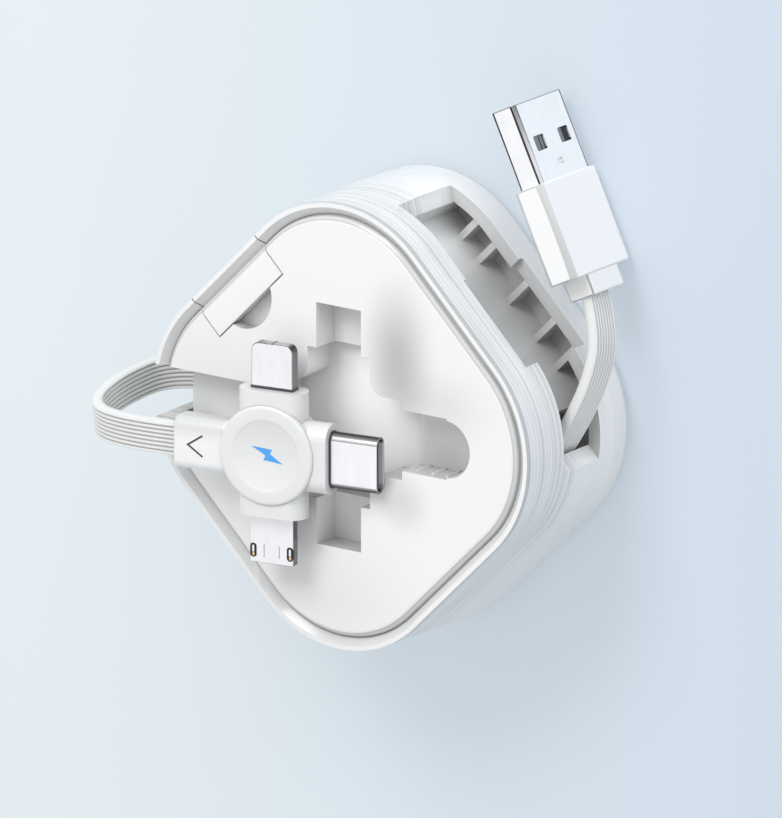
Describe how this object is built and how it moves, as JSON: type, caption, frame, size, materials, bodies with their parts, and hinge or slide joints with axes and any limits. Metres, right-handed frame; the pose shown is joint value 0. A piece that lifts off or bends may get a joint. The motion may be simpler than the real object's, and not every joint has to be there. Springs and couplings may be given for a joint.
{
  "type": "retractable charging cable",
  "caption": "Flat cable that winds into a rounded square case, with a plug head in a front pocket, a large plug for a side bay and a fold-out stand leaf.",
  "frame": {"origin": "centre of the case's outline, on the plane of its back", "axes": "+Z out of the front, +X to the corner where the large plug's cable leaves, +Y to the top corner of the front"},
  "size_m": [0.0786, 0.0835, 0.0356],
  "materials": {
    "case_white": "white glossy moulded plastic",
    "plug_white": "white smooth moulded plastic",
    "inner_plastic": "light grey inner moulding",
    "dark_plastic": "black plug insert",
    "cable_jacket": "soft ribbed pale jacket",
    "steel": "bright plated steel",
    "contact_gold": "gold-plated contact",
    "board_green": "green circuit board",
    "blue_ink": "light blue mark",
    "grey_ink": "dark grey mark"
  },
  "bodies": {
    "case": {"front_housing": "case_white", "front_panel": "case_white", "rear_housing": "case_white", "stand_hinge_pin": "steel", "reel_retainer": "steel", "pawl_pin": "steel", "case_screws": "steel", "left_guide": "inner_plastic", "right_guide": "inner_plastic", "head_body": "plug_white", "head_cap": "plug_white", "bolt_mark": "blue_ink", "head_board": "board_green", "tab_plug": "steel", "tab_contacts": "contact_gold", "c_shell": "steel", "c_tongue": "dark_plastic", "micro_shell": "steel", "micro_tongue": "dark_plastic", "neck_sleeve": "plug_white", "neck_mark": "grey_ink", "left_ribbon": "cable_jacket", "right_ribbon": "cable_jacket", "a_shell": "steel", "a_tongue": "plug_white", "a_contacts": "contact_gold", "a_body": "plug_white", "a_relief": "plug_white"},
    "stand": {"stand_flap": "case_white"},
    "drum": {"reel": "inner_plastic", "wound_cable": "cable_jacket", "spiral_spring": "steel", "spring_cover": "inner_plastic"},
    "pawl_lever": {"pawl": "inner_plastic"}
  },
  "joints": [
    {"name": "stand_hinge", "type": "hinge", "parent": "case", "child": "stand", "pos_m": [-0.01973, 0.01973, 0.0115], "axis": [-0.7071, -0.7071, 0], "range_deg": [0, 105]},
    {"name": "reel_spin", "type": "hinge", "parent": "case", "child": "drum", "pos_m": [0, 0, 0.012], "axis": [0, 0, 1], "range_deg": [0, 1080], "stiffness_Nm_per_rad": 0.0002, "springref_deg": -572.96},
    {"name": "pawl_swing", "type": "hinge", "parent": "case", "child": "pawl_lever", "pos_m": [0.01556, -0.00778, 0.018], "axis": [0, 0, 1], "range_deg": [-6, 6]}
  ]
}
